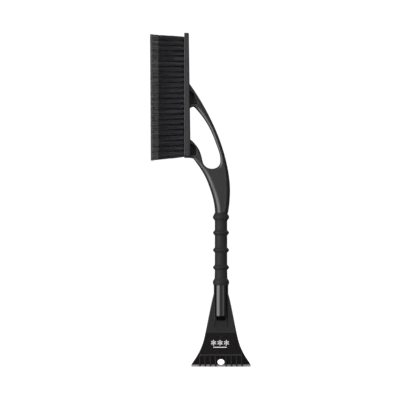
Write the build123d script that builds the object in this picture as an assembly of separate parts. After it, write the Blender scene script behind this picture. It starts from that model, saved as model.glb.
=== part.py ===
"""Snow brush with an ice scraper: a one-piece arched handle frame that carries the brush, a
tube inside a ribbed grip, and a moulded scraper head on the tube's other end.

Heights are written above the scraper's edge. The handle axis is X = 0, Y = 0. The brush points
to -X, the scraper's front faces -Y. Everything is moved to the grip's centre when it is written.
"""

import os
from math import cos, radians, tan

from build123d import *

os.makedirs("parts", exist_ok=True)

# ------------------------------------------------------------------ driving dimensions, mm
GRIP_BOTTOM = 136.5
GRIP_TOP = 258.0
GRIP_CENTRE = (GRIP_BOTTOM + GRIP_TOP) / 2
GRIP_R = 10.4
RING_R = 13.3
RING_HEIGHTS = (166.8, 195.8, 224.8)
END_RING_LOW = 141.9
END_RING_HIGH = 250.7

TUBE_R = 8.0
TUBE_WALL = 1.2
TUBE_LOW = 92.0
TUBE_HIGH = 290.0

# brush bar: a moulded tray (part of the handle frame) with the drilled block set into it
BAR_LOW = 350.0
BAR_HIGH = 559.6
BAR_HALF = 19.0
BAR_CORNER = 6.0
BLOCK_FACE = -61.6
SEAM = -57.6
TRAY_FLOOR = -55.4
TRAY_RIM = 1.2
TRAY_BACK_R = 2.0
TRAY_GAP = 0.1
SEAM_R = 0.55
RAIL_BACK_LOW = -51.3
RAIL_BACK_HIGH = -53.8
RAIL_TAPER_FROM = 386.0

# tufts
ROWS = 5
ROW_PITCH = 7.2
TUFTS = 23
TUFT_PITCH = 8.77
TUFT_TOP = 551.1
HOLE_R = 2.1
HOLE_DEPTH = 5.2
TUFT_PLUG_R = 1.98
TUFT_ROOT_R = 2.05
TUFT_TIP_R = 3.9
TIP_HIGH = -118.9
TIP_LOW = -117.7
LEAN_HIGH = 1.0
LEAN_LOW = -3.7
LEAN_SIDE = 1.3
ANCHOR_WIDTH = 4.16
ANCHOR_THICK = 0.45
ANCHOR_TALL = 1.8

# handle frame
FRAME_HALF = 11.2
EDGE_R = 3.6
LOOP_R = 3.3
POCKET_FLOOR_LOW = 5.2
POCKET_FLOOR_HIGH = 1.0

# block screws, countersunk, driven from the back of the tray
SCREW_R = 1.45
SCREW_HEAD_R = 2.8
SCREW_HEAD = 1.6
SCREW_LENGTH = 7.0
SCREW_Y = 14.4

# tube screws, pan head, one through each socket into the tube
PIN_R = 1.6
PIN_HEAD_R = 3.0
PIN_HEAD = 2.0
PIN_SEAT = 1.4
PIN_TIP = 5.6
NECK_PIN_Z = 276.0
SOCKET_PIN_Z = 112.0

# scraper head
SOCKET_R = 12.2
SOCKET_LOW = 84.6
SOCKET_EDGE_R = 1.4
SCOOP_HALF = 8.0
SCOOP_DEPTH = 4.0
SCOOP_LOW = 60.0
WING_TOP = 123.6
PLATE_HALF = 2.0
BEND_Z = 57.0
BLADE_Z = 20.0
BEVEL_Z = 3.7
TILT = 20.0
BLADE_TILT = 25.0
PLATE_T = 3.2
BLADE_T = 3.0
HANG_R = 5.85
HANG_Z = 7.9
HANG_EDGE_R = 0.5
RIB_PITCH = 8.8
RIB_WIDTH = 2.1
RIB_RISE_HIGH = 0.4
RIB_RISE_LOW = 2.3
RIB_TOP = 18.8
LEDGE_HIGH = 21.6
LEDGE_LOW = 18.3
LEDGE_HALF = 35.0
GUSSET_X = 10.2
GUSSET_WIDTH = 3.6
GUSSET_LOW = 66.0
PANEL_TOP = 56.6
PANEL_DEPTH = 0.9
PANEL_SLOPE = 2.2
PLATE_EDGE_R = 0.9


# ------------------------------------------------------------------ helpers
def at(x, z, y=0.0):
    """A point from its place across, its height and its depth."""
    return Vector(x, y, z)


def front_prism(edges, half, middle=0.0):
    """A solid from edges in the front view, as deep as twice half."""
    face = Face(Wire(edges))
    return Pos(0, middle, 0) * extrude(face, amount=half, dir=(0, 1, 0), both=True)


def side_prism(points, half, middle=0.0):
    """A solid from (depth, height) corners in the side view, as wide as twice half."""
    corners = [Vector(0, y, z) for y, z in points]
    face = Face(Wire(Polyline(*corners, close=True)))
    return Pos(middle, 0, 0) * extrude(face, amount=half, dir=(1, 0, 0), both=True)


def slab(x, z, half_y, corner):
    """A flat block across x = (low, high) and z = (low, high) with rounded corners in plan."""
    plan = RectangleRounded(z[1] - z[0], 2 * half_y, corner)
    middle = Plane(origin=(x[0], 0, (z[0] + z[1]) / 2), x_dir=(0, 0, 1), z_dir=(1, 0, 0))
    return extrude(middle * plan, amount=x[1] - x[0])


def rounded_slice(left, right, radius, z, half):
    """A level section of the neck."""
    return Pos((left + right) / 2, 0, z) * RectangleRounded(right - left, 2 * half, radius)


def rail_back(z):
    """Where the back face of the tray lies at a height."""
    rise = max(0.0, z - RAIL_TAPER_FROM) / (BAR_HIGH - RAIL_TAPER_FROM)
    return RAIL_BACK_LOW + rise * (RAIL_BACK_HIGH - RAIL_BACK_LOW)


def save(name, shape):
    """Moves a node to the grip's centre and writes it."""
    moved = Pos(0, 0, -GRIP_CENTRE) * shape
    export_step(moved, f"parts/{name}.step")


# ------------------------------------------------------------------ places of tufts and screws
row_ys = [(i - (ROWS - 1) / 2) * ROW_PITCH for i in range(ROWS)]


def tuft_heights(row):
    """Every second row sits half a pitch lower."""
    first = TUFT_TOP - (TUFT_PITCH / 2 if row % 2 else 0.0)
    return [first - k * TUFT_PITCH for k in range(TUFTS)]


staggered = tuft_heights(1)
screw_places = [(y, staggered[k]) for y in (-SCREW_Y, SCREW_Y) for k in (0, 11, 21)]


def countersunk_screw(y, z):
    """A flat-head screw along X with a cross recess, its head flush with the tray's back."""
    head_face = rail_back(z + SCREW_HEAD_R) - 0.1
    profile = Polyline(
        at(0, 0),
        at(SCREW_HEAD_R, 0),
        at(SCREW_R, -SCREW_HEAD),
        at(SCREW_R, -SCREW_LENGTH + 1.2),
        at(0.2, -SCREW_LENGTH),
        at(0, -SCREW_LENGTH),
        close=True,
    )
    body = revolve(Face(Wire(profile)), Axis.Z)
    for spin in (45, 135):
        body -= Rot(0, 0, spin) * Box(3.0, 0.6, 1.8)
    return Pos(head_face, y, z) * Rot(0, 90, 0) * body


def pan_screw(z, seat_y):
    """A pan-head screw along Y from the back, its head sitting at seat_y."""
    shank = Cylinder(PIN_R, seat_y - PIN_TIP, align=(Align.CENTER, Align.CENTER, Align.MIN))
    head = Cylinder(PIN_HEAD_R, PIN_HEAD, align=(Align.CENTER, Align.CENTER, Align.MIN))
    head = fillet(head.edges().group_by(Axis.Z)[-1], 0.8)
    body = shank + Pos(0, 0, seat_y - PIN_TIP) * head
    for spin in (45, 135):
        cross = Box(3.6, 0.8, 2.0, align=(Align.CENTER, Align.CENTER, Align.MAX))
        body -= Pos(0, 0, seat_y - PIN_TIP + PIN_HEAD + 0.6) * Rot(0, 0, spin) * cross
    return Pos(0, PIN_TIP, z) * Rot(-90, 0, 0) * body


def pan_screw_seat(z, seat_y):
    """The hole and counterbore a pan-head screw needs."""
    hole = Cylinder(PIN_R + 0.02, 30, align=(Align.CENTER, Align.CENTER, Align.MIN))
    bore = Cylinder(PIN_HEAD_R + 0.3, 20, align=(Align.CENTER, Align.CENTER, Align.MIN))
    return Pos(0, 0, z) * Rot(-90, 0, 0) * (hole + Pos(0, 0, seat_y) * bore)


# ------------------------------------------------------------------ handle frame
strut_outer = Spline(
    at(-46.6, 349.0),
    at(-40.2, 340.5),
    at(-32.3, 328.8),
    at(-25.0, 315.4),
    at(-19.7, 302.0),
    at(-15.2, 288.6),
    at(-12.0, 275.2),
    at(-10.2, GRIP_TOP),
)
arch_outer = Spline(
    at(12.0, GRIP_TOP),
    at(14.6, 279.0),
    at(15.2, 300.0),
    at(12.0, 328.8),
    at(4.4, 360.6),
    at(-6.2, 390.8),
    at(-20.1, 420.9),
    at(-37.1, 451.1),
    at(-55.0, 477.6),
)
loop_edge = Spline(
    at(-55.0, 426.5),
    at(-51.6, 431.8),
    at(-47.2, 435.6),
    at(-40.9, 431.0),
    at(-28.9, 415.9),
    at(-17.2, 395.8),
    at(-7.1, 370.7),
    at(-1.2, 348.9),
    at(-3.2, 337.6),
    at(-15.7, 332.0),
    at(-28.2, 338.4),
    at(-32.2, 350.6),
    at(-37.7, 365.7),
    at(-45.3, 375.7),
    at(-55.0, 385.4),
)
outline = [
    Line(at(-55.0, BAR_LOW + 0.6), at(-46.6, 349.0)),
    strut_outer,
    Line(at(-10.2, GRIP_TOP), at(12.0, GRIP_TOP)),
    arch_outer,
    Line(at(-55.0, 477.6), at(-55.0, 426.5)),
    loop_edge,
    Line(at(-55.0, 385.4), at(-55.0, BAR_LOW + 0.6)),
]
web = front_prism(outline, FRAME_HALF)


def front_and_back_curves(solid, low, high):
    """The curved edges of the two flat sides whose lowest point is between two heights."""
    sides = [f for f in solid.faces() if abs(abs(f.center().Y) - FRAME_HALF) < 1e-3]
    curves = [e for f in sides for e in f.edges() if e.geom_type != GeomType.LINE]
    return [e for e in curves if e.length > 60 and low < e.bounding_box().min.Z < high]


web = fillet(front_and_back_curves(web, 330, 400), LOOP_R)
web = fillet(front_and_back_curves(web, 250, 330), EDGE_R)

# the neck rounds off to a full circle where it meets the grip
neck_slices = (
    # height, left, right, corner radius
    (GRIP_TOP, -10.25, 12.05, 11.1),
    (267.0, -11.2, 13.4, 10.9),
    (281.0, -13.5, 14.85, 10.0),
    (296.0, -17.8, 15.35, 8.8),
    (312.0, -23.6, 14.6, 7.0),
    (328.0, -31.9, 12.3, 5.0),
    (345.0, -43.7, 8.8, 2.0),
)
core = loft([rounded_slice(a, b, r, z, FRAME_HALF + 0.05) for z, a, b, r in neck_slices])
above = Pos(0, 0, 345.0) * Box(200, 60, 260, align=(Align.CENTER, Align.CENTER, Align.MIN))
web = web & (core + above)

# sunk pockets between the tray and the arch, and at the root of the lower strut, with floors
# that slope inward towards the top
upper_pocket = [
    Line(at(-56.0, 460.2), at(-56.0, 440.6)),
    Line(at(-56.0, 440.6), at(-38.6, 440.6)),
    Line(at(-38.6, 440.6), at(-46.9, 460.2)),
    Line(at(-46.9, 460.2), at(-56.0, 460.2)),
]
lower_pocket = [
    Line(at(-56.0, 373.2), at(-56.0, 355.2)),
    Line(at(-56.0, 355.2), at(-41.4, 355.2)),
    Line(at(-41.4, 355.2), at(-41.4, 364.0)),
    ThreePointArc(at(-41.4, 364.0), at(-43.3, 369.6), at(-47.6, 373.2)),
    Line(at(-47.6, 373.2), at(-56.0, 373.2)),
]
for pocket, low, high in ((upper_pocket, 440.6, 460.2), (lower_pocket, 355.2, 373.2)):
    for side in (-1, 1):
        floor = [
            (side * POCKET_FLOOR_LOW, low - 1),
            (side * POCKET_FLOOR_HIGH, high + 1),
            (side * 20, high + 1),
            (side * 20, low - 1),
        ]
        web -= front_prism(pocket, 20.0) & side_prism(floor, 60)

# the tray: tapered back, rounded ends, a shallow recess for the block
tray = slab((SEAM, RAIL_BACK_LOW), (BAR_LOW, BAR_HIGH), BAR_HALF, BAR_CORNER)
taper = [
    Line(at(RAIL_BACK_LOW, RAIL_TAPER_FROM), at(RAIL_BACK_HIGH, BAR_HIGH)),
    Line(at(RAIL_BACK_HIGH, BAR_HIGH), at(RAIL_BACK_HIGH, BAR_HIGH + 5)),
    Line(at(RAIL_BACK_HIGH, BAR_HIGH + 5), at(RAIL_BACK_LOW + 5, BAR_HIGH + 5)),
    Line(at(RAIL_BACK_LOW + 5, BAR_HIGH + 5), at(RAIL_BACK_LOW + 5, RAIL_TAPER_FROM)),
    Line(at(RAIL_BACK_LOW + 5, RAIL_TAPER_FROM), at(RAIL_BACK_LOW, RAIL_TAPER_FROM)),
]
tray -= front_prism(taper, 40)
back_rim = [e for e in tray.edges() if e.center().X > SEAM + 3.0]
tray = fillet(back_rim, TRAY_BACK_R)
seam_rim = [e for e in tray.edges() if e.center().X < SEAM + 0.05]
tray = fillet(seam_rim, SEAM_R)
recess = slab(
    (SEAM, TRAY_FLOOR),
    (BAR_LOW + TRAY_RIM, BAR_HIGH - TRAY_RIM),
    BAR_HALF - TRAY_RIM,
    BAR_CORNER - TRAY_RIM,
)

handle = web + tray - recess
handle -= Pos(0, 0, GRIP_TOP) * Cylinder(
    TUBE_R, TUBE_HIGH - GRIP_TOP, align=(Align.CENTER, Align.CENTER, Align.MIN)
)
handle -= pan_screw_seat(NECK_PIN_Z, FRAME_HALF - PIN_SEAT)
for y, z in screw_places:
    hole = Rot(0, 90, 0) * Cylinder(SCREW_R + 0.15, 12)
    sink = Rot(0, 90, 0) * Cone(SCREW_R + 0.1, SCREW_HEAD_R + 0.1, SCREW_HEAD)
    mouth = Rot(0, 90, 0) * Cylinder(SCREW_HEAD_R + 0.1, 1.0)
    head_face = rail_back(z + SCREW_HEAD_R) - 0.1
    handle -= Pos(SEAM + 2.0, y, z) * hole
    handle -= Pos(head_face - SCREW_HEAD / 2, y, z) * sink
    handle -= Pos(head_face + 0.5, y, z) * mouth

# ------------------------------------------------------------------ brush block
block = slab((BLOCK_FACE, SEAM), (BAR_LOW, BAR_HIGH), BAR_HALF, BAR_CORNER)
front_rim = [e for e in block.edges() if e.center().X < BLOCK_FACE + 0.1]
block = fillet(front_rim, 0.8)
block = fillet([e for e in block.edges() if e.center().X > SEAM - 0.05], SEAM_R)
inset = TRAY_RIM + TRAY_GAP
block += slab(
    (SEAM, TRAY_FLOOR),
    (BAR_LOW + inset, BAR_HIGH - inset),
    BAR_HALF - inset,
    BAR_CORNER - inset,
)
tuft_hole = Rot(0, 90, 0) * Cylinder(
    HOLE_R, HOLE_DEPTH, align=(Align.CENTER, Align.CENTER, Align.MIN)
)
holes = [Pos(BLOCK_FACE, y, z) * tuft_hole for r, y in enumerate(row_ys) for z in tuft_heights(r)]
block = block.cut(*holes)
for y, z in screw_places:
    tip = rail_back(z + SCREW_HEAD_R) - 0.1 - SCREW_LENGTH
    pilot = Cylinder(SCREW_R, 12, align=(Align.CENTER, Align.CENTER, Align.MIN))
    block -= Pos(tip, y, z) * Rot(0, 90, 0) * pilot


# ------------------------------------------------------------------ tufts and their anchors
def tuft_and_anchor(y, z):
    """One bunch of bristles folded round its flat wire anchor."""
    root = Vector(BLOCK_FACE + HOLE_DEPTH - 0.02, y, z)
    share = (z - tuft_heights(1)[-1]) / (TUFT_TOP - tuft_heights(1)[-1])
    tip_x = TIP_LOW + share * (TIP_HIGH - TIP_LOW)
    lean_z = LEAN_LOW + share * (LEAN_HIGH - LEAN_LOW)
    lean_y = LEAN_SIDE * y / row_ys[-1]
    mouth = Vector(BLOCK_FACE - 0.1, y, z)
    run = Vector(tip_x - mouth.X, lean_y, lean_z)
    anchor = Pos(root.X - 0.5 - ANCHOR_TALL / 2, y, z) * Box(
        ANCHOR_TALL, ANCHOR_WIDTH, ANCHOR_THICK
    )
    plug = Pos(root.X, y, z) * Rot(0, -90, 0) * Cylinder(
        TUFT_PLUG_R, root.X - mouth.X + 0.6, align=(Align.CENTER, Align.CENTER, Align.MIN)
    )
    brush = Plane(origin=mouth, z_dir=run) * Cone(
        TUFT_ROOT_R, TUFT_TIP_R, run.length, align=(Align.CENTER, Align.CENTER, Align.MIN)
    )
    return (plug + brush) - anchor, anchor


for row, y in enumerate(row_ys):
    pairs = [tuft_and_anchor(y, z) for z in tuft_heights(row)]
    save(f"bristle_row_{row + 1}", Compound([tuft for tuft, _ in pairs]))
    save(f"tuft_anchors_{row + 1}", Compound([anchor for _, anchor in pairs]))

screws = [countersunk_screw(y, z) for y, z in screw_places]

# ------------------------------------------------------------------ tube and grip
tube = Pos(0, 0, TUBE_LOW) * Cylinder(
    TUBE_R, TUBE_HIGH - TUBE_LOW, align=(Align.CENTER, Align.CENTER, Align.MIN)
)
tube -= Pos(0, 0, TUBE_LOW - 1) * Cylinder(
    TUBE_R - TUBE_WALL, TUBE_HIGH - TUBE_LOW + 2, align=(Align.CENTER, Align.CENTER, Align.MIN)
)
for z in (NECK_PIN_Z, SOCKET_PIN_Z):
    tube -= pan_screw_seat(z, 30)


def ring(middle, half, crest):
    """The side view of one rounded ring on the grip, from top to bottom."""
    return Spline(
        at(GRIP_R, middle + half),
        at(GRIP_R + 1.0, middle + (half + crest) / 2 + 0.3),
        at(RING_R, middle + crest),
        at(RING_R, middle - crest),
        at(GRIP_R + 1.0, middle - (half + crest) / 2 - 0.3),
        at(GRIP_R, middle - half),
        tangents=[(0.15, 0, -1), (-0.15, 0, -1)],
    )


high_ring = Spline(
    at(11.1, GRIP_TOP),
    at(11.5, 256.0),
    at(RING_R, 252.8),
    at(RING_R, 248.9),
    at(11.3, 246.2),
    at(GRIP_R, 243.4),
)
low_ring = Spline(
    at(GRIP_R + 0.35, 149.8),
    at(11.6, 147.0),
    at(RING_R + 0.2, 143.9),
    at(RING_R + 0.2, 140.2),
    at(12.3, GRIP_BOTTOM),
)
edges = [Line(at(TUBE_R, GRIP_TOP), at(11.1, GRIP_TOP)), high_ring]
last = at(GRIP_R, 243.4)
for height in reversed(RING_HEIGHTS):
    bulge = ring(height, 5.2, 0.9)
    edges += [Line(last, bulge @ 0), bulge]
    last = bulge @ 1
edges += [Line(last, low_ring @ 0), low_ring]
edges += [Line(low_ring @ 1, at(TUBE_R, GRIP_BOTTOM))]
edges += [Line(at(TUBE_R, GRIP_BOTTOM), at(TUBE_R, GRIP_TOP))]
grip = revolve(Face(Wire(edges)), Axis.Z)

# ------------------------------------------------------------------ scraper head
half_widths = (
    # height, half the width
    (WING_TOP, 12.0),
    (111.0, 15.2),
    (90.9, 19.4),
    (60.8, 25.5),
    (45.7, 28.9),
    (35.7, 32.0),
    (27.3, 35.6),
    (18.9, 40.1),
    (10.6, 45.4),
    (BEVEL_Z, 49.9),
)
slope, blade_slope = tan(radians(TILT)), tan(radians(BLADE_TILT))
front_blade = -PLATE_HALF + (BEND_Z - BLADE_Z) * slope
front_bevel = front_blade + (BLADE_Z - BEVEL_Z) * blade_slope
front_edge = front_blade + BLADE_Z * blade_slope
plate_deep = PLATE_T / cos(radians(TILT))
blade_deep = BLADE_T / cos(radians(BLADE_TILT))


def front_at(z):
    """Depth of the scraper's front face at a height."""
    if z >= BEND_Z:
        return -PLATE_HALF
    if z >= BLADE_Z:
        return -PLATE_HALF + (BEND_Z - z) * slope
    return front_blade + (BLADE_Z - z) * blade_slope


plate_side = [
    (-PLATE_HALF, WING_TOP + 1),
    (-PLATE_HALF, BEND_Z),
    (front_blade, BLADE_Z),
    (front_bevel, BEVEL_Z),
    (front_edge + blade_deep - 0.4, 0.0),
    (front_edge + blade_deep, 0.0),
    (front_blade + plate_deep, BLADE_Z),
    (PLATE_HALF, BEND_Z - (2 * PLATE_HALF - plate_deep) / slope),
    (PLATE_HALF, WING_TOP + 1),
]
right = Spline(*[at(half, z) for z, half in half_widths])
left = Spline(*[at(-half, z) for z, half in half_widths])
foot = [
    Line(right @ 1, at(50.0, 0.0)),
    Line(at(50.0, 0.0), at(-50.0, 0.0)),
    Line(at(-50.0, 0.0), left @ 1),
]
plate = side_prism(plate_side, 55) & front_prism([left, Line(left @ 0, right @ 0), right, *foot], 40)
plate = fillet([e for e in plate.edges() if e.length > 20 and abs(e.center().X) > 12], PLATE_EDGE_R)

# sunk panel on the front
panel_side = [
    (front_at(PANEL_TOP) - 3, PANEL_TOP),
    (front_at(PANEL_TOP), PANEL_TOP),
    (front_at(PANEL_TOP - PANEL_SLOPE) + PANEL_DEPTH, PANEL_TOP - PANEL_SLOPE),
    (front_at(20.6) + PANEL_DEPTH, 20.6),
    (front_at(20.6) - 3, 19.0),
]
panel_outline = [
    Line(at(-22.6, 58.0), at(22.6, 58.0)),
    Spline(at(22.6, 58.0), at(25.6, 42.0), at(35.5, 18.5)),
    Line(at(35.5, 18.5), at(-35.5, 18.5)),
    Spline(at(-35.5, 18.5), at(-25.6, 42.0), at(-22.6, 58.0)),
]
plate -= side_prism(panel_side, 45) & front_prism(panel_outline, 60)

# upright ledge under the panel
ledge_side = [
    (front_at(LEDGE_HIGH) + 2, LEDGE_HIGH + 0.6),
    (front_at(LEDGE_HIGH) + 0.7, LEDGE_HIGH + 0.6),
    (front_at(LEDGE_HIGH), LEDGE_HIGH),
    (front_at(LEDGE_HIGH), LEDGE_LOW),
    (front_at(LEDGE_LOW) + 0.4, LEDGE_LOW - 0.6),
    (front_at(LEDGE_LOW) + 2, LEDGE_LOW - 0.6),
]
ledge = side_prism(ledge_side, LEDGE_HALF)
ledge_ends = [e for e in ledge.edges() if abs(e.center().X) > LEDGE_HALF - 0.1]
plate += fillet([e for e in ledge_ends if e.center().Y < front_at(LEDGE_HIGH) + 0.1], 0.5)

# socket for the tube, with gussets down to the plate in front and a fairing behind
socket = Pos(0, 0, SOCKET_LOW) * Cylinder(
    SOCKET_R, GRIP_BOTTOM - SOCKET_LOW, align=(Align.CENTER, Align.CENTER, Align.MIN)
)
fairing = Pos(0, 0, 50.0) * Cone(
    2.0, SOCKET_R, SOCKET_LOW - 50.0, align=(Align.CENTER, Align.CENTER, Align.MIN)
)
fairing &= Pos(0, 1.0, 0) * Box(60, 60, 300, align=(Align.CENTER, Align.MIN, Align.CENTER))
socket = fillet(socket.edges().group_by(Axis.Z)[0], SOCKET_EDGE_R)
gusset_side = [
    (-SOCKET_R * 0.72, SOCKET_LOW + 6),
    (-SOCKET_R * 0.72, SOCKET_LOW + 3),
    (-PLATE_HALF, GUSSET_LOW),
    (0.0, GUSSET_LOW - 1),
    (0.0, SOCKET_LOW + 6),
]
gusset_inner = GUSSET_X - GUSSET_WIDTH / 2
gusset_outer = GUSSET_X + GUSSET_WIDTH / 2
gusset_front = [
    Line(at(gusset_inner - 0.4, SOCKET_LOW + 6), at(gusset_outer, SOCKET_LOW + 6)),
    Line(at(gusset_outer, SOCKET_LOW + 6), at(GUSSET_X + 1.2, GUSSET_LOW - 1)),
    Line(at(GUSSET_X + 1.2, GUSSET_LOW - 1), at(GUSSET_X, GUSSET_LOW - 1)),
    Line(at(GUSSET_X, GUSSET_LOW - 1), at(gusset_inner - 0.4, SOCKET_LOW + 6)),
]
gusset = side_prism(gusset_side, 30) & front_prism(gusset_front, 40)
gusset &= Pos(0, 0, 80) * Cylinder(SOCKET_R, 60)
scraper = plate + socket + fairing + gusset + mirror(gusset, Plane.YZ)
scoop = [
    Line(at(0, SOCKET_LOW, -20), at(0, SOCKET_LOW, SCOOP_DEPTH)),
    ThreePointArc(
        at(0, SOCKET_LOW, SCOOP_DEPTH),
        at(0, 72.5, SCOOP_DEPTH * 0.42 - PLATE_HALF * 0.6),
        at(0, SCOOP_LOW, -PLATE_HALF),
    ),
    Line(at(0, SCOOP_LOW, -PLATE_HALF), at(0, SCOOP_LOW - 1, -20)),
    Line(at(0, SCOOP_LOW - 1, -20), at(0, SOCKET_LOW, -20)),
]
scoop = extrude(Face(Wire(scoop)), amount=SCOOP_HALF, dir=(1, 0, 0), both=True)
scraper -= scoop

# ice-breaker ribs over the blade and its bevel
rib_side = [
    (front_at(RIB_TOP) + 1.5, RIB_TOP),
    (front_at(RIB_TOP) - RIB_RISE_HIGH, RIB_TOP),
    (front_at(0.8) - RIB_RISE_LOW, 0.8),
    (front_at(0.8) - RIB_RISE_LOW + 0.8, 0.0),
    (front_edge + blade_deep - 0.2, 0.0),
]
rib = side_prism(rib_side, RIB_WIDTH / 2)
rib_crest = [e for e in rib.edges() if e.length > 15 and e.center().Y < front_at(9) - 0.5]
rib = fillet(rib_crest, 0.6)
for k in (-4, -3, -2, -1, 1, 2, 3, 4):
    scraper += Pos(k * RIB_PITCH, 0, 0) * rib

# tube bore, screw seat and the hole it hangs by
scraper -= Pos(0, 0, TUBE_LOW) * Cylinder(TUBE_R, 60, align=(Align.CENTER, Align.CENTER, Align.MIN))
scraper -= pan_screw_seat(SOCKET_PIN_Z, SOCKET_R - PIN_SEAT)
hang_y = front_at(HANG_Z) + blade_deep / 2
scraper -= Pos(0, hang_y, HANG_Z) * Rot(90 + BLADE_TILT, 0, 0) * Cylinder(HANG_R, 20)
hang_rim = [e for e in scraper.edges() if e.geom_type == GeomType.CIRCLE and e.radius == HANG_R]
scraper = fillet(hang_rim, HANG_EDGE_R)

pins = [
    pan_screw(NECK_PIN_Z, FRAME_HALF - PIN_SEAT),
    pan_screw(SOCKET_PIN_Z, SOCKET_R - PIN_SEAT),
]

# ------------------------------------------------------------------ write the other nodes
save("handle_frame", handle)
save("brush_block", block)
save("block_screws", Compound(screws))
save("core_tube", tube)
save("grip_sleeve", grip)
save("scraper_head", scraper)
save("tube_screws", Compound(pins))
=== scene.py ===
"""The looks of the snow brush: filament tufts, rounded mouldings, rubber grip, studio."""

import math
import random

import bmesh
import bpy
import numpy as np
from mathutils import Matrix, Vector
from mathutils.bvhtree import BVHTree
from mathutils.geometry import tessellate_polygon


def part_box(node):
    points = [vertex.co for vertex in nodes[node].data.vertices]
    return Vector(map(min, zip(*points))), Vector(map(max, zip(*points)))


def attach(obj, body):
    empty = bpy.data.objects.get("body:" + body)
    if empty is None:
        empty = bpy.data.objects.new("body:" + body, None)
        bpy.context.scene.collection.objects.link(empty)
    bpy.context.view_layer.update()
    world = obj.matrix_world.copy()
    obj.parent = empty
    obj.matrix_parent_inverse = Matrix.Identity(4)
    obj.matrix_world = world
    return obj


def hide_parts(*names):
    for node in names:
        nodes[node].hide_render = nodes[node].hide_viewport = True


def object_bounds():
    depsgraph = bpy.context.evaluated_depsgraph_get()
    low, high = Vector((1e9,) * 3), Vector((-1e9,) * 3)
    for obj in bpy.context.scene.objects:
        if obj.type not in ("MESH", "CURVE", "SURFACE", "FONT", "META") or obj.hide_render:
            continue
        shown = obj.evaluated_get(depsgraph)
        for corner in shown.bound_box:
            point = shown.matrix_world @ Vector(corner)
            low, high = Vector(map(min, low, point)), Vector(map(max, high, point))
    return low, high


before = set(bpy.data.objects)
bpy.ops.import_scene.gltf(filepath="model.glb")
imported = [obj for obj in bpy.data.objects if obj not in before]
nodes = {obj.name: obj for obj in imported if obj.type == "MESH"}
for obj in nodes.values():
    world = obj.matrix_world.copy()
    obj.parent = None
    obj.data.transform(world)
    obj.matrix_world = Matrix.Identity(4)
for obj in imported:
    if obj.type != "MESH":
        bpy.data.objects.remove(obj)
cad_low, cad_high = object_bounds()
scene = bpy.context.scene

# ------------------------------------------------------------------ driving values, in metres
MM = 0.001
ROWS = range(1, 6)
edge_z = cad_low.z  # the scraping edge, from which heights are told

FILAMENTS = 72  # in each tuft
FILAMENT_R = 0.24 * MM
TUFT_ROOT, TUFT_TIP = 2.25 * MM, 5.2 * MM  # a tuft's radius at its hole and at its end
TUFT_START = 1.2 * MM  # how far inside its hole a filament starts
FLAG_LENGTH = 13.4 * MM  # the thicker, paler end of a filament
FLAG_SWELL, SPLIT_SWELL = 1.6, 1.4  # its radius and its split's, in filament radii
END_SPREAD = 0.8  # the end tufts spread less past the block
DRIFT, BOW, FAN = 0.4 * MM, 0.5 * MM, 0.9 * MM  # how much a fibre leans, bends and splays
SHORTFALL = 0.006  # how much shorter a fibre may be, as a share of its length
SPLIT_BACK = 0.8 * MM  # how far short of the fibre's end its split may stop

TRAY_DEPTH = 6.3 * MM  # from the seam to the tray's back, below its taper
BORE_R, BORE_HIGH = 8.1 * MM, 32.2 * MM  # the neck's socket for the tube
HANDLE_VOXEL = 0.62 * MM
ARCH_OPENED = 0.25  # how far outside the wall the arch's inner arc starts, in radii
SEAM_DEPTH = 1.0 * MM  # how far the web runs into the tray
WEB_STRETCH = (3.0 * MM, 2.5 * MM)  # where that stretch starts and how long it is
ARCH_RISE = 1.45  # height gained per X along the arch's outer side at the tray

POCKET_DEPTHS = (8.6 * MM, 10.0 * MM)  # |Y| up to which their painted shade and rougher finish are full, and its limit
UPPER_POCKET, LOWER_POCKET = (440.2, 461.0), (354.8, 373.6)  # heights, in mm
POCKET_SLANT = 0.4235  # X lost per height along the upper pocket's slanted side
POCKET_CORNER = (-38.6, 440.6)  # X and height of that side's foot, in mm
POCKET_SIDE = (-41.4 * MM, -40.8 * MM)  # X of the lower pocket's right side
SLANT_MARGIN, BAND_BLUR = 0.9, 0.4  # room beyond that side and softness of the ends, in mm

RIB_PITCH = 8.8 * MM
RIB_SIDE = (1.0 * MM, 1.25 * MM)  # X from a rib's middle to where the pale strip starts
MIDDLE_CLEAR, ENDS_CLEAR = (4.0 * MM, 4.2 * MM), (39.8 * MM, 40.0 * MM)  # |X| without ribs
STRIP_TOP = (3.3 * MM, 3.7 * MM)  # height of the pale strip on the scraping edge, a painted reflection
BLADE_LEAN = 0.86  # Y lost per height on the blade

FLAKE_R, FLAKE_ARM = 4.9 * MM, 0.24 * MM  # a snowflake's reach and half an arm's width
FLAKE_PITCH = 10.8 * MM
FLAKE_BRANCHES = ((0.42, 0.26), (0.72, 0.22))  # where they start and how long, in reaches
MARK_X, MARK_UP = -1.7 * MM, 40.4 * MM
BAR_HALF, BAR_DROPS, BAR_STEPS = 11.2 * MM, (8.2 * MM, 7.0 * MM), 16
PRINT_LIFT, PRINT_THICK = 0.02 * MM, 0.12 * MM

FRAME_WIDTH = 0.670  # what the camera takes in, across
DISTANCE = 16.0
LOOK_AT = Vector((-35.2 * MM, 0.0, 82.35 * MM))
FLOOR_HALF, FLOOR_GAP = 6.0, 0.5 * MM

COOL = (1.03, 1.0, 1.22)
WARM = (1.3, 1.0, 1.0)


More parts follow.
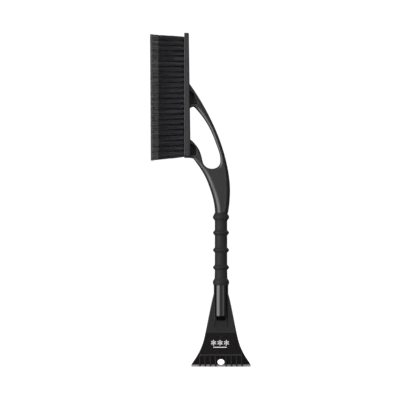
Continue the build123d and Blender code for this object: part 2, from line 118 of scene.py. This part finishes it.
# ------------------------------------------------------------------ shader helpers
class Nodes:
    """A small builder for one material's node tree."""

    def __init__(self, name):
        self.material = bpy.data.materials.new(name)
        self.material.use_nodes = True
        self.tree = self.material.node_tree
        self.shader = self.tree.nodes["Principled BSDF"]
        self.place = self.add("ShaderNodeTexCoord").outputs["Object"]

    def add(self, kind, **inputs):
        node = self.tree.nodes.new(kind)
        for key, value in inputs.items():
            node.inputs[key.replace("_", " ")].default_value = value
        return node

    def link(self, source, target):
        self.tree.links.new(source, target)

    def xyz(self):
        """The three parts of the place, as sockets."""
        split = self.add("ShaderNodeSeparateXYZ")
        self.link(self.place, split.inputs["Vector"])
        return split.outputs["X"], split.outputs["Y"], split.outputs["Z"]

    def noise(self, scale, detail=3.0, rough=0.5, stretch=(1, 1, 1), distortion=0.0):
        """Noise over the object's own coordinates, in metres."""
        mapping = self.add("ShaderNodeMapping")
        mapping.inputs["Scale"].default_value = stretch
        self.link(self.place, mapping.inputs["Vector"])
        node = self.add("ShaderNodeTexNoise", Scale=scale, Detail=detail, Roughness=rough)
        node.inputs["Distortion"].default_value = distortion
        self.link(mapping.outputs["Vector"], node.inputs["Vector"])
        return node.outputs["Fac"]

    def flow(self):
        """Slow marks left along the tool by the melt."""
        return self.noise(9.0, 4.0, 0.55, (1.0, 1.0, 0.35), 0.6)

    def smear(self):
        """Hand marks and scuffs."""
        return self.noise(60.0, 5.0, 0.62, (1.0, 1.0, 0.3))

    def grain(self):
        """The fine grain of a spark-eroded mould."""
        return self.noise(1400.0, 2.0, 0.6)

    def ramp(self, source, stops):
        """A colour ramp from (position, (r, g, b)) stops."""
        node = self.add("ShaderNodeValToRGB")
        band = node.color_ramp
        while len(band.elements) < len(stops):
            band.elements.new(0.5)
        for element, (position, colour) in zip(band.elements, stops):
            element.position = position
            element.color = (*colour, 1.0)
        self.link(source, node.inputs["Fac"])
        return node.outputs["Color"]

    def shades(self, source, levels, tint=(1.0, 1.0, 1.0), span=(0.3, 0.75)):
        """A ramp between two levels of one tint."""
        return self.ramp(source, [(at, grey(level, tint)) for at, level in zip(span, levels)])

    def spread(self, source, low, high, start=0.3, stop=0.7):
        """Maps the span from start to stop onto low to high, and clamps outside it."""
        node = self.add("ShaderNodeMapRange")
        node.inputs["From Min"].default_value = start
        node.inputs["From Max"].default_value = stop
        node.inputs["To Min"].default_value = low
        node.inputs["To Max"].default_value = high
        self.link(source, node.inputs["Value"])
        return node.outputs["Result"]

    def math(self, operation, first, second=None):
        """One Math node on a socket and either a number or another socket."""
        node = self.add("ShaderNodeMath")
        node.operation = operation
        self.link(first, node.inputs[0])
        if isinstance(second, (int, float)):
            node.inputs[1].default_value = second
        elif second is not None:
            self.link(second, node.inputs[1])
        return node.outputs[0]

    def times(self, *sockets):
        """The product of several sockets."""
        product = sockets[0]
        for socket in sockets[1:]:
            product = self.math("MULTIPLY", product, socket)
        return product

    def mix(self, share, first, second):
        """Blends two colours by a 0 to 1 share."""
        node = self.add("ShaderNodeMix")
        node.data_type = "RGBA"
        self.link(share, node.inputs[0])
        self.link(first, node.inputs[6])
        self.link(second, node.inputs[7])
        return node.outputs[2]

    def bump(self, height, strength, distance, under=None):
        node = self.add("ShaderNodeBump", Strength=strength, Distance=distance)
        self.link(height, node.inputs["Height"])
        if under is not None:
            self.link(under, node.inputs["Normal"])
        return node.outputs["Normal"]

    def done(self, colour, rough, normal=None, specular=0.5, **plain):
        shader = self.shader
        self.link(colour, shader.inputs["Base Color"])
        self.link(rough, shader.inputs["Roughness"])
        if normal is not None:
            self.link(normal, shader.inputs["Normal"])
        shader.inputs["Specular IOR Level"].default_value = specular
        for key, value in plain.items():
            shader.inputs[key.replace("_", " ")].default_value = value
        return self.material


def grey(level, tint=(1.0, 1.0, 1.0)):
    return tuple(level * share for share in tint)


# ------------------------------------------------------------------ materials
def moulded(name, levels, rough):
    """Moulded plastic: fine spark-eroded grain, slow flow marks and scuffs."""
    n = Nodes(name)
    smear = n.smear()
    slow = n.bump(smear, 0.06, 0.0004)
    normal = n.bump(n.grain(), 0.22, 0.00006, slow)
    return n.done(n.shades(n.flow(), levels, COOL), n.spread(smear, *rough), normal)


def handle_material():
    """The frame's satin moulding, rougher inside the two moulded pockets, where painted shade also darkens
    it.
    """
    n = Nodes("satin_moulding")
    flow, smear = n.flow(), n.smear()
    x, y, z = n.xyz()
    up = n.math("SUBTRACT", z, edge_z)

    def level_band(low, high):
        above = n.spread(up, 0.0, 1.0, (low - BAND_BLUR) * MM, (low + BAND_BLUR) * MM)
        below = n.spread(up, 1.0, 0.0, (high - BAND_BLUR) * MM, (high + BAND_BLUR) * MM)
        return n.times(above, below)

    sunk = n.spread(n.math("ABSOLUTE", y), 1.0, 0.0, *POCKET_DEPTHS)
    slant = n.math("ADD", x, n.math("MULTIPLY", up, POCKET_SLANT))
    foot_x, foot_up = POCKET_CORNER
    side = (foot_x + POCKET_SLANT * foot_up + SLANT_MARGIN) * MM
    upper = n.times(level_band(*UPPER_POCKET), n.spread(slant, 1.0, 0.0, side, side + MM))
    lower = n.times(level_band(*LOWER_POCKET), n.spread(x, 1.0, 0.0, *POCKET_SIDE))
    # painted shade: the pocket floors get a darker colour where their walls shade them, besides a rougher
    # finish
    pocket = n.times(sunk, n.math("MAXIMUM", upper, lower))
    satin = n.shades(flow, (0.0066, 0.0099), COOL)
    # painted shade colour for the pocket floors
    matte = n.shades(flow, (0.0035, 0.0050))
    rough = n.math("MAXIMUM", n.spread(smear, 0.32, 0.44), n.math("MULTIPLY", pocket, 0.7))
    slow = n.bump(smear, 0.06, 0.0004)
    return n.done(n.mix(pocket, satin, matte), rough, n.bump(n.grain(), 0.22, 0.00006, slow))


def rubber(name, level):
    """Grip rubber: a matte skin with a fine pebble and slight shading."""
    n = Nodes(name)
    cells = n.add("ShaderNodeTexVoronoi", Scale=1500.0, Randomness=1.0)
    n.link(n.place, cells.inputs["Vector"])
    patch = n.noise(45.0, 5.0, 0.6)
    colour = n.shades(patch, (level, level * 1.35), span=(0.3, 0.7))
    low = n.bump(n.noise(420.0, 3.0, 0.6), 0.22, 0.0003)
    pebble = n.bump(cells.outputs["Distance"], 0.3, 0.00012, low)
    return n.done(colour, n.spread(patch, 0.62, 0.78), pebble, 0.3)


def metal(name, level, rough):
    """Drawn and zinc plated steel."""
    n = Nodes(name)
    lines = n.noise(900.0, 3.0, 0.6, (1.0, 1.0, 0.04))
    colour = n.shades(lines, (level, level * 1.25), span=(0.3, 0.7))
    roughness = n.spread(lines, rough * 0.8, rough * 1.3)
    return n.done(colour, roughness, n.bump(lines, 0.1, 0.00003), Metallic=1.0)


def bristle_material(name):
    """Black filament: pale flagged ends, streaks along the tufts, and painted light at the roots against the
    block's shade.
    """
    n = Nodes(name)
    x, _, _ = n.xyz()
    along = n.spread(x, 0.0, 1.0, tip_x, block_face)
    streak = n.spread(n.noise(700.0, 2.0, 0.5, (0.04, 1.0, 1.0)), 0.0, 1.0, 0.35, 0.65)

    def lengthwise(light, flag):
        # painted light: the shank lightens towards the roots, where the block shades the tufts
        shank_and_painted_root_light = ((FLAG_SHARE + 0.03, 0.012), (0.5, 0.014), (0.94, 0.021), (0.975, 0.042), (1.0, 0.065))
        ends = ((0.0, 1.0), (FLAG_SHARE - 0.03, 1.0), (FLAG_SHARE, 1.15))
        pale = [(at, grey(flag * more)) for at, more in ends]
        return n.ramp(along, pale + [(at, grey(level * light, COOL)) for at, level in shank_and_painted_root_light])

    colour = n.mix(streak, lengthwise(0.65, 0.042), lengthwise(1.4, 0.046))
    return n.done(colour, n.spread(streak, 0.45, 0.6, 0.0, 1.0), None, 0.4)


def scraper_plastic(name):
    """Glossy black plastic with a pale strip painted between the ribs on the scraping edge: a painted
    reflection of the light on the edge's bevel.
    """
    n = Nodes(name)
    grain_and_glint = n.noise(900.0, 3.0, 0.6, (1.0, 1.0, 0.15))
    smear = n.smear()
    x, y, z = n.xyz()
    low = n.spread(z, 1.0, 0.0, *(edge_z + up for up in STRIP_TOP))
    depth = n.math("ADD", y, n.math("MULTIPLY", z, BLADE_LEAN))
    back_edge = edge_y + BLADE_LEAN * edge_z
    face = n.spread(depth, 1.0, 0.0, back_edge - 0.3 * MM, back_edge)
    wave = n.math("PINGPONG", n.math("MULTIPLY", x, 1 / RIB_PITCH), 0.5)
    between_ribs = n.spread(wave, 0.0, 1.0, RIB_SIDE[0] / RIB_PITCH, RIB_SIDE[1] / RIB_PITCH)
    off_centre = n.math("ABSOLUTE", x)
    middle = n.spread(off_centre, 1.0, 0.0, *MIDDLE_CLEAR)
    ends = n.spread(off_centre, 0.0, 1.0, *ENDS_CLEAR)
    clear = n.math("MAXIMUM", between_ribs, n.math("MAXIMUM", middle, ends))
    # painted reflection: the pale strip on the scraping edge stands in for the bevel's reflection of the
    # light
    painted_reflection = n.times(low, face, clear)
    black = n.shades(n.flow(), (0.0026, 0.0040), WARM)
    # the painted reflection's pale colour, varied by the fine grain noise that also bumps the surface
    pale = n.shades(grain_and_glint, (0.16, 0.26), span=(0.3, 0.7))
    rough = n.math("MAXIMUM", n.spread(smear, 0.10, 0.17), n.math("MULTIPLY", painted_reflection, 0.6))
    slow = n.bump(smear, 0.05, 0.0004)
    return n.done(n.mix(painted_reflection, black, pale), rough, n.bump(grain_and_glint, 0.05, 0.00004, slow))


def white_print():
    """Worn white ink."""
    n = Nodes("white_print")
    wear = n.noise(500.0, 4.0, 0.65)
    colour = n.shades(wear, (0.42, 0.62), span=(0.25, 0.6))
    return n.done(colour, n.spread(wear, 0.5, 0.65), n.bump(wear, 0.1, 0.00005), 0.4)


def dress(obj, material):
    obj.data.materials.clear()
    obj.data.materials.append(material)


def shown(name, mesh):
    """A new piece in the scene for a mesh."""
    obj = bpy.data.objects.new(name, mesh)
    scene.collection.objects.link(obj)
    return obj


def as_mesh(bm, name):
    """Turns a finished bmesh into a named mesh."""
    mesh = bpy.data.meshes.new(name)
    bm.to_mesh(mesh)
    bm.free()
    return mesh


def surface_of(obj):
    """A CAD node's faces, ready to be hit by rays."""
    mesh = obj.data
    places = [v.co.copy() for v in mesh.vertices]
    return BVHTree.FromPolygons(places, [tuple(p.vertices) for p in mesh.polygons])


# ------------------------------------------------------------------ tufts of filaments
tip_x = min(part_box(f"bristle_row_{i}")[0].x for i in ROWS)
block_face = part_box("brush_block")[0].x
FLAG_SHARE = FLAG_LENGTH / (block_face - tip_x)
FLAG_FROM = 1.0 - FLAG_SHARE
STATIONS = (0.0, 0.08, 0.35, FLAG_FROM, FLAG_FROM + 0.02, 0.9, 1.0)
black_fibre = bristle_material("bristle_fibre")


def loose_parts(obj):
    """Each separate solid of a CAD node, as a list of its points."""
    mesh = obj.data
    root = list(range(len(mesh.vertices)))

    def find(i):
        while root[i] != i:
            root[i] = root[root[i]]
            i = root[i]
        return i

    def join(first, second):
        a, b = find(first), find(second)
        if a != b:
            root[a] = b

    for edge in mesh.edges:
        join(*edge.vertices)
    seen = {}
    for vertex in mesh.vertices:
        key = tuple(round(c, 7) for c in vertex.co)
        join(seen.setdefault(key, vertex.index), vertex.index)
    groups = {}
    for vertex in mesh.vertices:
        groups.setdefault(find(vertex.index), []).append(vertex.co.copy())
    return list(groups.values())


def centre(points):
    return sum(points, Vector()) / len(points)


def tuft_axes(obj):
    """The mouth and the tip centre of every tuft in a row, from the top down."""
    axes = []
    for points in loose_parts(obj):
        low = min(p.x for p in points)
        far = [p for p in points if p.x < low + 0.6 * MM]
        near = [p for p in points if abs(p.x - (block_face - 0.1 * MM)) < 0.3 * MM]
        if len(near) >= 3:
            axes.append((centre(near), centre(far)))
    return sorted(axes, key=lambda pair: -pair[0].z)


def strand(bm, points, radii, turn):
    """A thin three-sided fibre through points."""
    rings = []
    for k, (point, radius) in enumerate(zip(points, radii)):
        ahead = points[min(k + 1, len(points) - 1)] - points[max(k - 1, 0)]
        side = ahead.cross(Vector((0.0, 0.3, 1.0))).normalized()
        other = ahead.cross(side).normalized()
        ring = []
        for j in range(3):
            angle = turn + j * math.tau / 3
            corner = math.cos(angle) * side + math.sin(angle) * other
            ring.append(bm.verts.new(point + radius * corner))
        rings.append(ring)
    for low, high in zip(rings, rings[1:]):
        for j in range(3):
            bm.faces.new((low[j], low[(j + 1) % 3], high[(j + 1) % 3], high[j]))
    bm.faces.new(tuple(reversed(rings[0])))
    bm.faces.new(tuple(rings[-1]))


def sideways(rng):
    """A random step across the tufts."""
    return Vector((0.0, rng.gauss(0, 1), rng.gauss(0, 1)))


def fibre(bm, rng, mouth, run, end_side):
    """One fibre that spreads from its hole along run and splits at its end."""
    share = math.sqrt(rng.random())
    angle = rng.uniform(0, math.tau)
    out = Vector((0.0, math.cos(angle), math.sin(angle)))
    if out.z * end_side > 0:
        out.z *= END_SPREAD
    drift = sideways(rng) * DRIFT
    length = 1.0 - abs(rng.gauss(0, SHORTFALL))
    bow = sideways(rng) * BOW
    points, radii = [], []
    for t in STATIONS:
        spread = TUFT_ROOT + (TUFT_TIP - TUFT_ROOT) * t**0.9
        along = mouth + run * (t * length) + Vector((TUFT_START * (1 - t), 0, 0))
        points.append(along + out * share * spread + drift * t + bow * math.sin(math.pi * t))
        radii.append(FILAMENT_R * (FLAG_SWELL if t > FLAG_FROM else 1.0))
    strand(bm, points, radii, rng.uniform(0, 2))
    root, end = points[-2], points[-1]
    fan = sideways(rng) * FAN
    stop = end + fan + Vector((rng.uniform(0, SPLIT_BACK), 0, 0))
    strand(bm, [root, stop], [FILAMENT_R * SPLIT_SWELL, FILAMENT_R], rng.uniform(0, 2))


def tuft_row(index):
    """One row of tufts, each a bunch of fibres round the CAD tuft's axis."""
    rng = random.Random(100 + index)
    bm = bmesh.new()
    axes = tuft_axes(nodes[f"bristle_row_{index}"])
    for place, (mouth, tip) in enumerate(axes):
        end_side = {0: 1, len(axes) - 1: -1}.get(place, 0)
        for _ in range(FILAMENTS):
            fibre(bm, rng, mouth, tip - mouth, end_side)
    mesh = as_mesh(bm, f"fibres_row_{index}")
    mesh.shade_smooth()
    mesh.materials.append(black_fibre)
    row = shown(f"fibres_row_{index}", mesh)
    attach(row, "root")
    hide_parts(f"bristle_row_{index}")


for number in ROWS:
    tuft_row(number)


# ------------------------------------------------------------------ handle, rounded as moulded
def section_loops(obj):
    """Closed outlines, as arrays of (x, z), where the plane Y = 0 cuts a CAD node."""
    bm = bmesh.new()
    bm.from_mesh(obj.data)
    bmesh.ops.remove_doubles(bm, verts=bm.verts, dist=1e-6)
    bmesh.ops.bisect_plane(
        bm,
        geom=[*bm.verts, *bm.edges, *bm.faces],
        plane_co=(0, 0, 0),
        plane_no=(0, 1, 0),
        clear_inner=True,
        clear_outer=True,
    )
    bmesh.ops.remove_doubles(bm, verts=bm.verts, dist=1e-6)
    loops, used = [], set()
    for first in bm.verts:
        if first in used or not first.link_edges:
            continue
        loop, vert, last = [], first, None
        while vert not in used:
            used.add(vert)
            loop.append((vert.co.x, vert.co.z))
            onward = [e for e in vert.link_edges if e is not last and e.other_vert(vert) not in used]
            if not onward:
                break
            last = onward[0]
            vert = last.other_vert(vert)
        loops.append(np.array(loop))
    bm.free()
    return loops


def signed_area(loop):
    following = np.roll(loop, -1, axis=0)
    return 0.5 * np.sum(loop[:, 0] * following[:, 1] - following[:, 0] * loop[:, 1])


class Contour:
    """Stretches of an outline with the side that the material is on and a rounding radius."""

    def __init__(self, loop, material_inside, keep, radius):
        if signed_area(loop) < 0:
            loop = loop[::-1]
        start, stop = loop, np.roll(loop, -1, axis=0)
        middle = (start + stop) / 2
        chosen = np.array([keep(x, z) for x, z in middle])
        self.start, self.run = start[chosen], (stop - start)[chosen]
        length = np.linalg.norm(self.run, axis=1, keepdims=True)
        left = np.stack([-self.run[:, 1], self.run[:, 0]], axis=1) / np.maximum(length, 1e-9)
        self.inward = left if material_inside else -left
        self.radius = np.array([radius(x, z, n[0]) for (x, z), n in zip(middle[chosen], self.inward)])

    def nearest(self, points):
        """Distance, nearest place, inward direction and radius for each (x, z) point."""
        share = np.einsum("pkc,kc->pk", points[:, None] - self.start, self.run)
        share = np.clip(share / np.maximum((self.run**2).sum(1), 1e-12), 0, 1)
        places = self.start + share[..., None] * self.run
        gap = np.linalg.norm(points[:, None] - places, axis=2)
        best = gap.argmin(1)
        rows = np.arange(len(points))
        place, distance = places[rows, best], gap[rows, best]
        inward = self.inward[best]
        away = points - place
        inside = np.einsum("pc,pc->p", away, inward) > 0
        use = inside & (distance > 0.1 * MM)
        inward = np.where(use[:, None], away / np.maximum(distance, 1e-9)[:, None], inward)
        distance = np.where(inside, distance, 0.0)
        weight = 1.0 / np.maximum(gap, 0.2 * MM) ** 4
        return distance, place, inward, (weight * self.radius).sum(1) / weight.sum(1)


def round_over(co, contour, half, opened=0.0):
    """Moves points that lie outside a rounded edge onto its arc, cut short where it is opened."""
    batch = 4000
    for first in range(0, len(co), batch):
        part = co[first : first + batch]
        distance, place, inward, radius = contour.nearest(part[:, [0, 2]])
        height = np.abs(part[:, 1])
        shift = radius * opened * np.maximum(inward[:, 0], 0.0) ** 2
        dx, dy = distance + shift - radius, height - (half - radius)
        reach = np.hypot(dx, dy)
        move = (dx < 0) & (dy > 0) & (reach > radius)
        scale = np.where(move, radius / np.maximum(reach, 1e-9), 1.0)
        flat = place + inward * (radius + dx * scale - shift)[:, None]
        part[move, 0], part[move, 2] = flat[move, 0], flat[move, 1]
        part[move, 1] = (np.sign(part[:, 1]) * ((half - radius) + dy * scale))[move]
        co[first : first + batch] = part


def cut_copy(obj, planes):
    """What a CAD node has behind every plane (a place and the way out), closed at the cuts."""
    bm = bmesh.new()
    bm.from_mesh(obj.data)
    bmesh.ops.remove_doubles(bm, verts=bm.verts, dist=1e-6)
    for place, out in planes:
        cut = bmesh.ops.bisect_plane(
            bm,
            geom=[*bm.verts, *bm.edges, *bm.faces],
            plane_co=place,
            plane_no=out,
            clear_outer=True,
        )
        edges = [g for g in cut["geom_cut"] if isinstance(g, bmesh.types.BMEdge)]
        bmesh.ops.holes_fill(bm, edges=edges, sides=0)
    bmesh.ops.triangulate(bm, faces=[f for f in bm.faces if len(f.verts) > 4])
    return as_mesh(bm, "cut")


def apply_modifiers(obj):
    """Replaces a piece's mesh with what its modifiers make of it."""
    bpy.context.view_layer.update()
    graph = bpy.context.evaluated_depsgraph_get()
    made = bpy.data.meshes.new_from_object(obj.evaluated_get(graph))
    obj.modifiers.clear()
    obj.data = made


def ramp_between(value, stops):
    return float(np.interp(value, [s[0] for s in stops], [s[1] for s in stops]))


def edge_contours(cad, tray_back, neck):
    """The frame's outline and its finger hole, with the radius that each edge is rounded to.

    Stops are a height, above the neck or the scraping edge, and a radius, all in mm.
    """

    def on_outside(x, z):
        in_bore = abs(x) < BORE_R and z < neck + BORE_HIGH
        return x > tray_back + 0.3 * MM and z > neck + 0.1 * MM and not in_bore

    def beside_hole(x, z):
        return x > tray_back + 0.2 * MM

    def outside_radius(x, z, inward_x):
        near_tray = ramp_between(x, [(tray_back, 0.4), (tray_back + 12 * MM, 1.0)])
        if inward_x > 0:
            stops = [(0, 11.1), (12, 10.9), (35, 9.8), (70, 8.8), (90, 6)]
        else:
            stops = [(0, 11.1), (50, 11), (75, 8.8), (110, 7.5), (200, 6.6)]
        return ramp_between((z - neck) / MM, stops) * MM * near_tray

    def hole_radius(x, z, inward_x):
        near_tray = ramp_between(x, [(tray_back, 0.66), (tray_back + 8 * MM, 1.0)])
        arch = ramp_between((z - edge_z) / MM, [(366, 4.6), (395, 7.9)])
        return (3.3 + arch * max(inward_x, 0.0) ** 2) * MM * near_tray

    outer, hole = sorted(section_loops(cad), key=lambda loop: -abs(signed_area(loop)))[:2]
    return Contour(outer, True, on_outside, outside_radius), Contour(hole, False, beside_hole, hole_radius)


class TrayBack:
    """The tapered back of the tray, beside the web."""

    def __init__(self, cad, tray_back):
        surface = surface_of(cad)

        def face_x(z):
            return surface.ray_cast(Vector((0.2, 14 * MM, z)), Vector((-1, 0, 0)))[0].x

        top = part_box("handle_frame")[1].z
        middle = top - 60 * MM
        self.level = tray_back
        self.high = top - 20 * MM
        self.high_x = face_x(self.high)
        self.lean = (self.high_x - face_x(middle)) / (self.high - middle)

    def at(self, z):
        return min(self.level, self.high_x + (z - self.high) * self.lean)

    def planes(self, gap):
        """Planes just behind the tray's back, each as a place and the way out."""
        upright = ((self.level + gap, 0, 0), (1, 0, 0))
        leaning = ((self.high_x + gap, 0, self.high), (1, 0, -self.lean))
        return [upright, leaning]


def rounded_web(cad, tray_back, neck):
    """The arch, loop and neck behind the tray, remeshed and rounded over."""
    half = max(abs(v.co.y) for v in cad.data.vertices if v.co.x > tray_back + 12 * MM)
    outside, inside = edge_contours(cad, tray_back, neck)
    web = shown("handle_web", cut_copy(cad, [((tray_back + 0.2 * MM, 0, 0), (-1, 0, 0))]))
    voxel = web.modifiers.new("voxel", "REMESH")
    voxel.mode = "VOXEL"
    voxel.voxel_size = HANDLE_VOXEL
    apply_modifiers(web)
    co = np.empty(len(web.data.vertices) * 3)
    web.data.vertices.foreach_get("co", co)
    co = co.reshape(-1, 3)
    round_over(co, outside, half)
    round_over(co, inside, half, ARCH_OPENED)
    web.data.vertices.foreach_set("co", co.ravel())
    relax = web.modifiers.new("relax", "SMOOTH")
    relax.factor, relax.iterations = 0.5, 8
    apply_modifiers(web)
    return web


def reach_into_tray(web, back, tray_back):
    """Stretches the web's cut end a little way into the tray, along the arch's slope."""
    start, length = WEB_STRETCH
    for vertex in web.data.vertices:
        near = (tray_back + start - vertex.co.x) / length
        reach = (SEAM_DEPTH + tray_back - back.at(vertex.co.z)) * min(max(near, 0.0), 1.0)
        climb = ramp_between((vertex.co.z - edge_z) / MM, [(440, 0.0), (465, ARCH_RISE)])
        vertex.co.x -= reach
        vertex.co.z += climb * reach


def rounded_handle():
    """The handle frame with the soft, varying edge rounding of the moulding."""
    cad = nodes["handle_frame"]
    low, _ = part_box("handle_frame")
    tray_back = low.x + TRAY_DEPTH
    back = TrayBack(cad, tray_back)
    web = rounded_web(cad, tray_back, low.z)
    reach_into_tray(web, back, tray_back)
    bm = bmesh.new()
    bm.from_mesh(web.data)
    bm.from_mesh(cut_copy(cad, back.planes(0.05 * MM)))
    bpy.data.objects.remove(web)
    mesh = as_mesh(bm, "handle_body")
    mesh.shade_smooth()
    mesh.set_sharp_from_angle(angle=math.radians(32))
    mesh.materials.append(handle_material())
    body = shown("handle_body", mesh)
    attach(body, "root")
    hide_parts("handle_frame")


# ------------------------------------------------------------------ generic mark on the blade
scraper_surface = surface_of(nodes["scraper_head"])
edge_y = max(v.co.y for v in nodes["scraper_head"].data.vertices if v.co.z < edge_z + 0.5 * MM)


def on_blade(x, up, lift):
    """The place just in front of the scraper at a given X and height above its edge."""
    hit = scraper_surface.ray_cast(Vector((x, -0.2, edge_z + up)), Vector((0, 1, 0)))[0]
    return hit + Vector((0, -lift, 0))


def flake_outline(reach, half):
    """A plain six-armed snowflake with two pairs of branches on each arm, as (x, z) points."""
    slope = math.radians(60)
    cosine, sine = math.cos(slope), math.sin(slope)
    side = [(half / math.tan(math.radians(30)), half)]
    for root, length in FLAKE_BRANCHES:
        near, far = root * reach - half / sine, root * reach + half / sine
        long = length * reach
        short = long - 2 * half / math.tan(slope)
        side.append((near, half))
        side.append((near + long * cosine, half + long * sine))
        side.append((far + short * cosine, half + short * sine))
        side.append((far, half))
    side.append((reach, half))
    rim = [(u, -v) for u, v in side] + [(u, v) for u, v in reversed(side[1:])]
    points = []
    for arm in range(6):
        turn = arm * math.radians(60) + math.radians(30)
        cosine, sine = math.cos(turn), math.sin(turn)
        points += [(u * cosine - v * sine, u * sine + v * cosine) for u, v in rim]
    return points


def plate(bm, outline):
    """A thin closed plate with a given outline, laid on the blade."""
    front = [bm.verts.new(on_blade(x, up, PRINT_LIFT + PRINT_THICK)) for x, up in outline]
    back = [bm.verts.new(on_blade(x, up, PRINT_LIFT)) for x, up in outline]
    for a, b, c in tessellate_polygon([[Vector((x, up, 0)) for x, up in outline]]):
        bm.faces.new((front[a], front[b], front[c]))
        bm.faces.new((back[c], back[b], back[a]))
    for k in range(len(outline)):
        after = (k + 1) % len(outline)
        bm.faces.new((front[k], back[k], back[after], front[after]))


def snow_mark():
    """Three snowflakes over a thin bar, printed on the sunk panel."""
    bm = bmesh.new()
    flake = flake_outline(FLAKE_R, FLAKE_ARM)
    for k in (-1, 0, 1):
        plate(bm, [(MARK_X + k * FLAKE_PITCH + x, MARK_UP + z) for x, z in flake])
    xs = [MARK_X - BAR_HALF + 2 * BAR_HALF * k / BAR_STEPS for k in range(BAR_STEPS + 1)]
    low, high = (MARK_UP - drop for drop in BAR_DROPS)
    plate(bm, [(x, low) for x in xs] + [(x, high) for x in reversed(xs)])
    bmesh.ops.triangulate(bm, faces=bm.faces[:])
    bmesh.ops.recalc_face_normals(bm, faces=bm.faces[:])
    mark = shown("snow_mark", as_mesh(bm, "snow_mark"))
    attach(mark, "root")
    mark.data.materials.append(white_print())


# ------------------------------------------------------------------ finishes
snow_mark()
rounded_handle()
dress(nodes["brush_block"], moulded("block_moulding", (0.0080, 0.0120), (0.30, 0.42)))
dress(nodes["scraper_head"], scraper_plastic("gloss_moulding"))
dress(nodes["grip_sleeve"], rubber("grip_rubber", 0.0066))
steel = metal("zinc_steel", 0.45, 0.3)
for name in ("core_tube", "block_screws", "tube_screws", *[f"tuft_anchors_{i}" for i in ROWS]):
    dress(nodes[name], steel)


# ------------------------------------------------------------------ studio
def aim(obj, target):
    obj.rotation_mode = "QUATERNION"
    obj.rotation_quaternion = (target - obj.location).to_track_quat("-Z", "Y")


def place_camera():
    data = bpy.data.cameras.new("camera")
    data.sensor_width = 36.0
    data.lens = 36.0 * DISTANCE / FRAME_WIDTH
    data.clip_start, data.clip_end = 0.05, 50.0
    camera = shown("camera", data)
    camera.location = LOOK_AT + Vector((0.0, -DISTANCE, 0.0))
    aim(camera, LOOK_AT)
    scene.camera = camera


def softbox(name, azimuth, height, size, radiance, distance=1.3):
    """A rectangular lamp round the object: azimuth 0 is beside the camera, negative to its left."""
    a = math.radians(azimuth)
    lamp = bpy.data.lights.new(name, "AREA")
    lamp.shape = "RECTANGLE"
    lamp.size, lamp.size_y = size
    lamp.energy = radiance * math.pi * size[0] * size[1]
    obj = shown(name, lamp)
    obj.location = LOOK_AT + Vector((math.sin(a) * distance, -math.cos(a) * distance, height))
    aim(obj, LOOK_AT + Vector((0, 0, height)))


class Room(Nodes):
    """The studio walls, as light by direction: X right, Y away from the camera, Z up."""

    def __init__(self, name):
        self.world = bpy.data.worlds.new(name)
        self.world.use_nodes = True
        self.tree = self.world.node_tree
        self.tree.nodes.clear()
        self.place = self.add("ShaderNodeTexCoord").outputs["Generated"]

    def light(self, colour, strength=1.0):
        node = self.add("ShaderNodeBackground", Strength=strength)
        if colour is not None:
            self.link(colour, node.inputs["Color"])
        else:
            node.inputs["Color"].default_value = (1.0, 1.0, 1.0, 1.0)
        return node.outputs["Background"]

    def choose(self, share, first, second):
        node = self.add("ShaderNodeMixShader")
        self.link(share, node.inputs["Fac"])
        self.link(first, node.inputs[1])
        self.link(second, node.inputs[2])
        return node.outputs["Shader"]

    def levels(self, source, *stops):
        return self.ramp(source, [(at, grey(level)) for at, level in stops])


def build_room():
    """Light from the walls for reflections, even light for matte surfaces, white for the view."""
    room = Room("studio")
    x, y, z = room.xyz()
    rise = room.spread(z, 0.0, 1.0, -1.0, 1.0)
    low_wall, high_wall = ((0.0, 0.08), (0.115, 0.11), (0.18, 0.19)), ((0.35, 0.42), (0.5, 0.62), (0.7, 0.55))
    wall_front = room.levels(rise, *low_wall, *high_wall)
    wall_back = room.levels(rise, (0.0, 0.2), (0.25, 0.1), (0.30, 0.035), (0.71, 0.035), (0.82, 0.9))
    behind = room.spread(y, 0.0, 0.4, 0.55, 0.8)
    wall_back = room.mix(behind, wall_back, room.levels(rise, (0.0, 0.5), (1.0, 0.9)))
    to_right = room.spread(x, 1.0, 0.5, 0.25, 0.55)
    front = room.times(room.spread(y, 1.0, 0.0, -0.5, -0.12), to_right)
    walls = room.mix(front, wall_back, wall_front)
    low_left = room.times(
        room.spread(x, 1.0, 0.0, -0.45, -0.25),
        room.spread(z, 1.0, 0.0, -0.35, -0.2),
        room.spread(y, 1.0, 0.0, -0.3, -0.1),
    )
    walls = room.mix(low_left, walls, room.levels(low_left, (0.0, 0.2), (1.0, 3.5)))
    seen = room.add("ShaderNodeLightPath").outputs
    soft = room.choose(seen["Is Diffuse Ray"], room.light(walls), room.light(None, 0.85))
    surface = room.choose(seen["Is Camera Ray"], soft, room.light(None, 1.05))
    room.link(surface, room.add("ShaderNodeOutputWorld").inputs["Surface"])
    scene.world = room.world


def lay_floor():
    """A pale matte floor just under the scraping edge, outside the part."""
    mesh = bpy.data.meshes.new("floor")
    signs = ((-1, -1), (1, -1), (1, 1), (-1, 1))
    corners = [(x * FLOOR_HALF, y * FLOOR_HALF, cad_low.z - FLOOR_GAP) for x, y in signs]
    mesh.from_pydata(corners, [], [(0, 1, 2, 3)])
    floor = shown("floor", mesh)
    n = Nodes("pale_floor")
    cloud = n.noise(3.0, 2.0, 0.5)
    colour = n.shades(cloud, (0.90, 0.93), span=(0.3, 0.7))
    glow = {"Emission_Color": (1.0, 1.0, 1.0, 1.0), "Emission_Strength": 0.45}
    floor.data.materials.append(n.done(colour, n.spread(cloud, 0.7, 0.8), None, 0.2, **glow))
    floor.visible_glossy = False


place_camera()
softbox("key_left", -47.0, 0.10, (1.15, 1.5), 5.0)
softbox("fill_right", 37.0, -0.05, (0.5, 0.9), 1.4)
softbox("top", 0.0, 1.5, (1.2, 1.2), 0.8, distance=0.2)
build_room()
lay_floor()
scene.view_settings.view_transform = "Standard"
scene.view_settings.look = "None"
